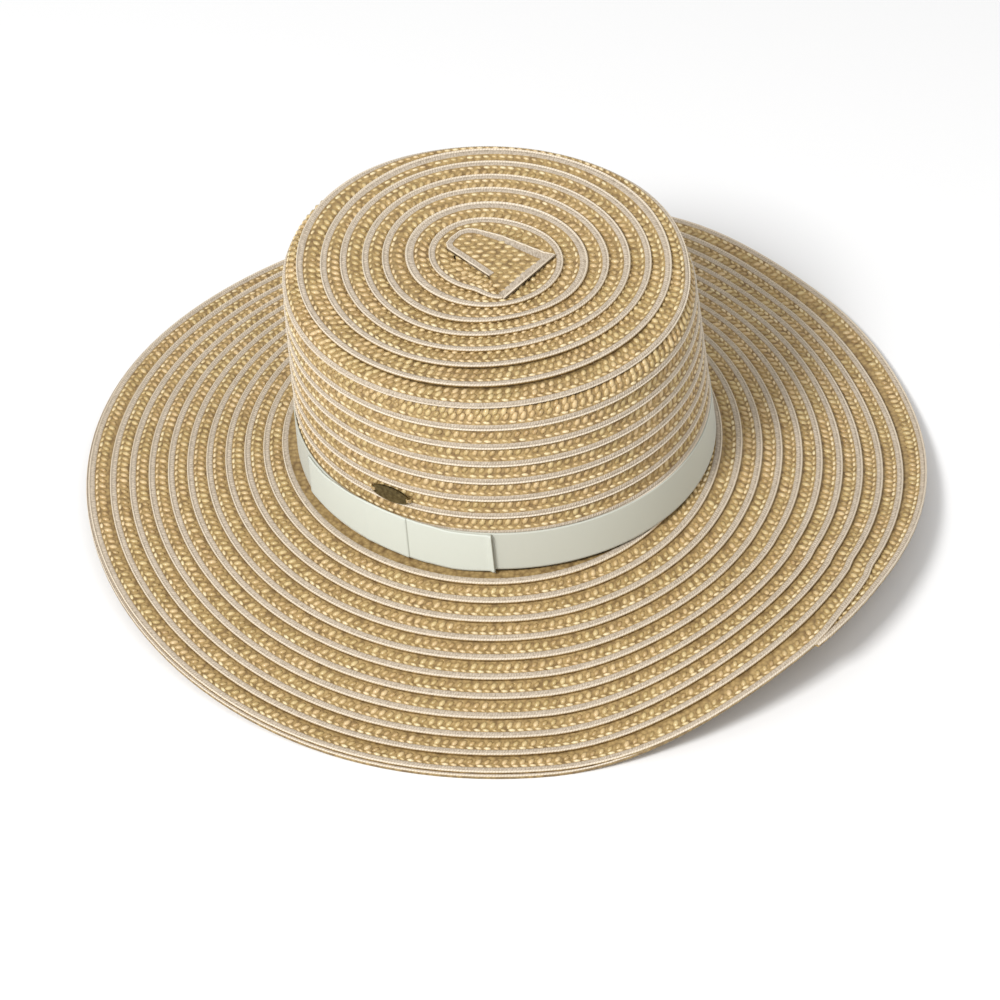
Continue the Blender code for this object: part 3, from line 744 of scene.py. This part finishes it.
def ribbon_strip(name, material, angles, edges, clearance, wall, painted_shade, closed):
    """Band of cloth round the crown through angles of its oval; edges gives its low and high line,
    wall its thickness, and the function after it how dark painted shade makes it, at an angle."""
    bm = bmesh.new()
    cloth_map = bm.loops.layers.uv.new("cloth")
    rings, lengths, run = [], [], 0.0
    for degrees in angles:
        low, high = edges(degrees)
        ring = []
        for layer, shares in ((clearance + wall(degrees), RIBBON_SHARES), (clearance, RIBBON_SHARES[::-1])):
            for share in shares:
                height = low + (high - low) * share
                x, y = oval(side_outset(height) + ROW_STEP + layer, degrees)
                ring.append(bm.verts.new(on_crown(x, y, height)))
        if rings:
            run += (ring[2].co - rings[-1][2].co).length
        rings.append(ring)
        lengths.append(run)
    lengths.append(run + (rings[0][2].co - rings[-1][2].co).length)
    pairs = list(zip(rings, rings[1:] + ([rings[0]] if closed else [])))
    for index, (ring, following) in enumerate(pairs):
        for side in range(len(ring)):
            after = (side + 1) % len(ring)
            face = bm.faces.new((ring[side], following[side], following[after], ring[after]))
            face.smooth = True
            for loop, (step, across) in zip(face.loops, ((0, side), (1, side), (1, after), (0, after))):
                share = (RIBBON_SHARES + RIBBON_SHARES[::-1])[across]
                loop[cloth_map].uv = (lengths[index + step], share * RIBBON_WIDTH)
    if not closed:
        bm.faces.new(rings[0])
        bm.faces.new(list(reversed(rings[-1])))
    bmesh.ops.recalc_face_normals(bm, faces=bm.faces)
    item = mesh_piece(name, bm, (material,))
    painted_shades = [painted_shade(degrees) for degrees in angles for _ in range(2 * len(RIBBON_SHARES))]
    item.data.attributes.new("painted_shade", "FLOAT", "POINT").data.foreach_set("value", painted_shades)
    return item


ribbon_angles = [360.0 * index / RIBBON_SIDES for index in range(RIBBON_SIDES)]
ribbon = ribbon_strip("ribbon", ribbon_cloth("ribbon_cloth", (0.60, 0.61, 0.53)), ribbon_angles,
                      lambda degrees: (RIBBON_RISE, RIBBON_RISE + RIBBON_WIDTH), SEAT_GAP,
                      lambda degrees: RIBBON_WALL, lambda degrees: 0.0, True)
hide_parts("ribbon_band")

# Tab over the ribbon's joint: a second length of ribbon laid round the front, its left end free and
# its right end folded back. It swells a little off the ribbon, with a seam step and a soft fold.
# Edges of the tab: (angle, low edge, high edge)
TAB_EDGES = (
    (-124.8, 0.0012, 0.0219), (-117.0, 0.0022, 0.0222), (-107.0, 0.0026, 0.0238), (-97.0, 0.0024, 0.0249),
    (-88.0, 0.0021, 0.0247), (-80.0, 0.0016, 0.0241), (-73.0, 0.0009, 0.0229), (-62.5, 0.0016, 0.0226),
)
TAB_WALL, LAP_WALL, SEAM_WALL, FOLD_WALL = 0.0006, 0.0015, 0.0010, 0.0008
LAP_ANGLE, SEAM_ANGLE, FOLD_ANGLE = -63.6, -85.8, -98.4


def tab_edges(degrees):
    """Low and high edge of the tab, eased between the places of its table."""
    for (start, low_a, high_a), (stop, low_b, high_b) in zip(TAB_EDGES, TAB_EDGES[1:]):
        if degrees <= stop + 1e-6:
            share = smooth_share(degrees, start, stop)
            return low_a + (low_b - low_a) * share, high_a + (high_b - high_a) * share
    return TAB_EDGES[-1][1:]


def tab_wall(degrees):
    """Thickness of the tab, with its folded end, its seam step and its soft fold."""
    lap = (LAP_WALL - TAB_WALL) * smooth_share(degrees, LAP_ANGLE - 0.5, LAP_ANGLE + 0.5)
    seam = (SEAM_WALL - TAB_WALL) * smooth_share(degrees, SEAM_ANGLE - 4.0, SEAM_ANGLE)
    if degrees > SEAM_ANGLE + 0.05:
        seam = 0.0
    fold = (FOLD_WALL - TAB_WALL) * math.exp(-(degrees - FOLD_ANGLE) ** 2)
    return TAB_WALL + lap + seam + fold


def tab_painted_shade(degrees):
    """Painted shade on the tab, in the crease of its seam and at its folded end where the fold casts a shadow."""
    seam = 0.55 if SEAM_ANGLE < degrees < SEAM_ANGLE + 0.3 else 0.0
    return 0.85 if degrees > TAB_EDGES[-1][0] - 0.25 else seam


tab_angles = [TAB_EDGES[0][0] + 0.7 * index for index in range(89)]
tab_angles += [SEAM_ANGLE, SEAM_ANGLE + 0.1, SEAM_ANGLE + 0.35, TAB_EDGES[-1][0] - 0.3, TAB_EDGES[-1][0] - 0.2,
               TAB_EDGES[-1][0]]
tab_angles = sorted(angle for angle in tab_angles if angle <= TAB_EDGES[-1][0])
tab = ribbon_strip("tab", ribbon_cloth("tab_cloth", (0.70, 0.73, 0.65)), tab_angles, tab_edges,
                   2.0 * SEAT_GAP + RIBBON_WALL, tab_wall, tab_painted_shade, False)
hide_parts("ribbon_tab")

# Badge: a small oval plate of darkened brass with a mottled face, stitched on through a slot at each end.
badge_brass, badge_nodes, badge_main = shader("aged_brass", (0.20, 0.17, 0.08), 0.38, 1.0)
badge_place = add_node(badge_nodes, "ShaderNodeTexCoord")
badge_wear = add_node(badge_nodes, "ShaderNodeTexNoise", {"Vector": badge_place.outputs["Object"],
                                                         "Scale": 700.0, "Detail": 4.0})
badge_tone = colour_steps(badge_nodes, badge_wear.outputs["Fac"], (
    (0.35, (0.13, 0.11, 0.06)), (0.6, (0.22, 0.19, 0.10)), (0.8, (0.32, 0.28, 0.15))))
badge_nodes.links.new(badge_tone, badge_main.inputs["Base Color"])
bumped(badge_nodes, badge_main, badge_wear.outputs["Fac"], 0.0002, 0.3)
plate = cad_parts["badge_plate"]
plate.data.materials.clear()
plate.data.materials.append(badge_brass)

BADGE_ANGLE, BADGE_RISE, BADGE_FRONT = -90.0, 0.0350, 0.0018
# Stitch over each end of the plate: (distance from its middle, distance out from its front)
STITCH = ((0.0080, -0.0004), (0.0083, 0.0003), (0.0092, 0.0004), (0.0101, 0.0), (0.0106, -0.0012))
bm = bmesh.new()
for side in (-1.0, 1.0):
    for lift in (-0.0006, 0.0, 0.0006):
        points = []
        for reach, out in STITCH:
            height = BADGE_RISE + lift
            degrees = BADGE_ANGLE + side * math.degrees(reach / CROWN_HALF_LENGTH)
            x, y = oval(side_outset(height) + BADGE_FRONT + out, degrees)
            points.append(on_crown(x, y, height))
        tube(bm, points, 0.00028)
bmesh.ops.recalc_face_normals(bm, faces=bm.faces)
badge_stitches = mesh_piece("badge_stitches", bm, (PLAITED_STRAW,))

# Studio: a pale floor, a large soft light from the front left and a weaker one from the right.
FLOOR_SIZE = 12.0
floor_mesh = bpy.data.meshes.new("floor")
half = FLOOR_SIZE / 2.0
floor_mesh.from_pydata([(-half, -half, 0.0), (half, -half, 0.0), (half, half, 0.0), (-half, half, 0.0)], [],
                       [(0, 1, 2, 3)])
floor = bpy.data.objects.new("floor", floor_mesh)
bpy.context.scene.collection.objects.link(floor)
floor_paint, floor_nodes, floor_main = shader("floor_paint", (0.90, 0.90, 0.90), 0.9)
floor_mesh.materials.append(floor_paint)

world = bpy.data.worlds.new("studio")
world.use_nodes = True
world.node_tree.nodes["Background"].inputs["Color"].default_value = (1.0, 1.0, 1.0, 1.0)
world.node_tree.nodes["Background"].inputs["Strength"].default_value = 0.62
bpy.context.scene.world = world
bpy.context.scene.view_settings.view_transform = "Standard"


def soft_light(name, place, size, power):
    light = bpy.data.lights.new(name, "AREA")
    light.size = size
    light.energy = power
    item = bpy.data.objects.new(name, light)
    bpy.context.scene.collection.objects.link(item)
    item.location = place
    item.rotation_euler = (Vector((0.0, 0.0, 0.06)) - Vector(place)).to_track_quat("-Z", "Y").to_euler()


soft_light("key_light", (-0.9, -1.0, 1.5), 0.5, 30.0)
soft_light("fill_light", (0.9, -0.6, 1.4), 1.2, 4.0)

# Camera at the photograph's angle
CAMERA_TILT, CAMERA_ROLL = math.radians(43.3), math.radians(-4.6)
CAMERA_DISTANCE, CAMERA_LENS = 1.372, 107.8
camera_target = Vector((-0.00314, -0.02381, 0.0))
back = Vector((0.0, -math.cos(CAMERA_TILT), math.sin(CAMERA_TILT)))
upward = Vector((0.0, math.sin(CAMERA_TILT), math.cos(CAMERA_TILT)))
right = Vector((1.0, 0.0, 0.0))
rolled_right = right * math.cos(CAMERA_ROLL) + upward * math.sin(CAMERA_ROLL)
rolled_up = -right * math.sin(CAMERA_ROLL) + upward * math.cos(CAMERA_ROLL)
camera_data = bpy.data.cameras.new("camera")
camera_data.lens, camera_data.sensor_width = CAMERA_LENS, 36.0
camera = bpy.data.objects.new("camera", camera_data)
bpy.context.scene.collection.objects.link(camera)
turned = Matrix((rolled_right, rolled_up, back)).transposed().to_4x4()
camera.matrix_world = Matrix.Translation(camera_target + back * CAMERA_DISTANCE) @ turned
bpy.context.scene.camera = camera
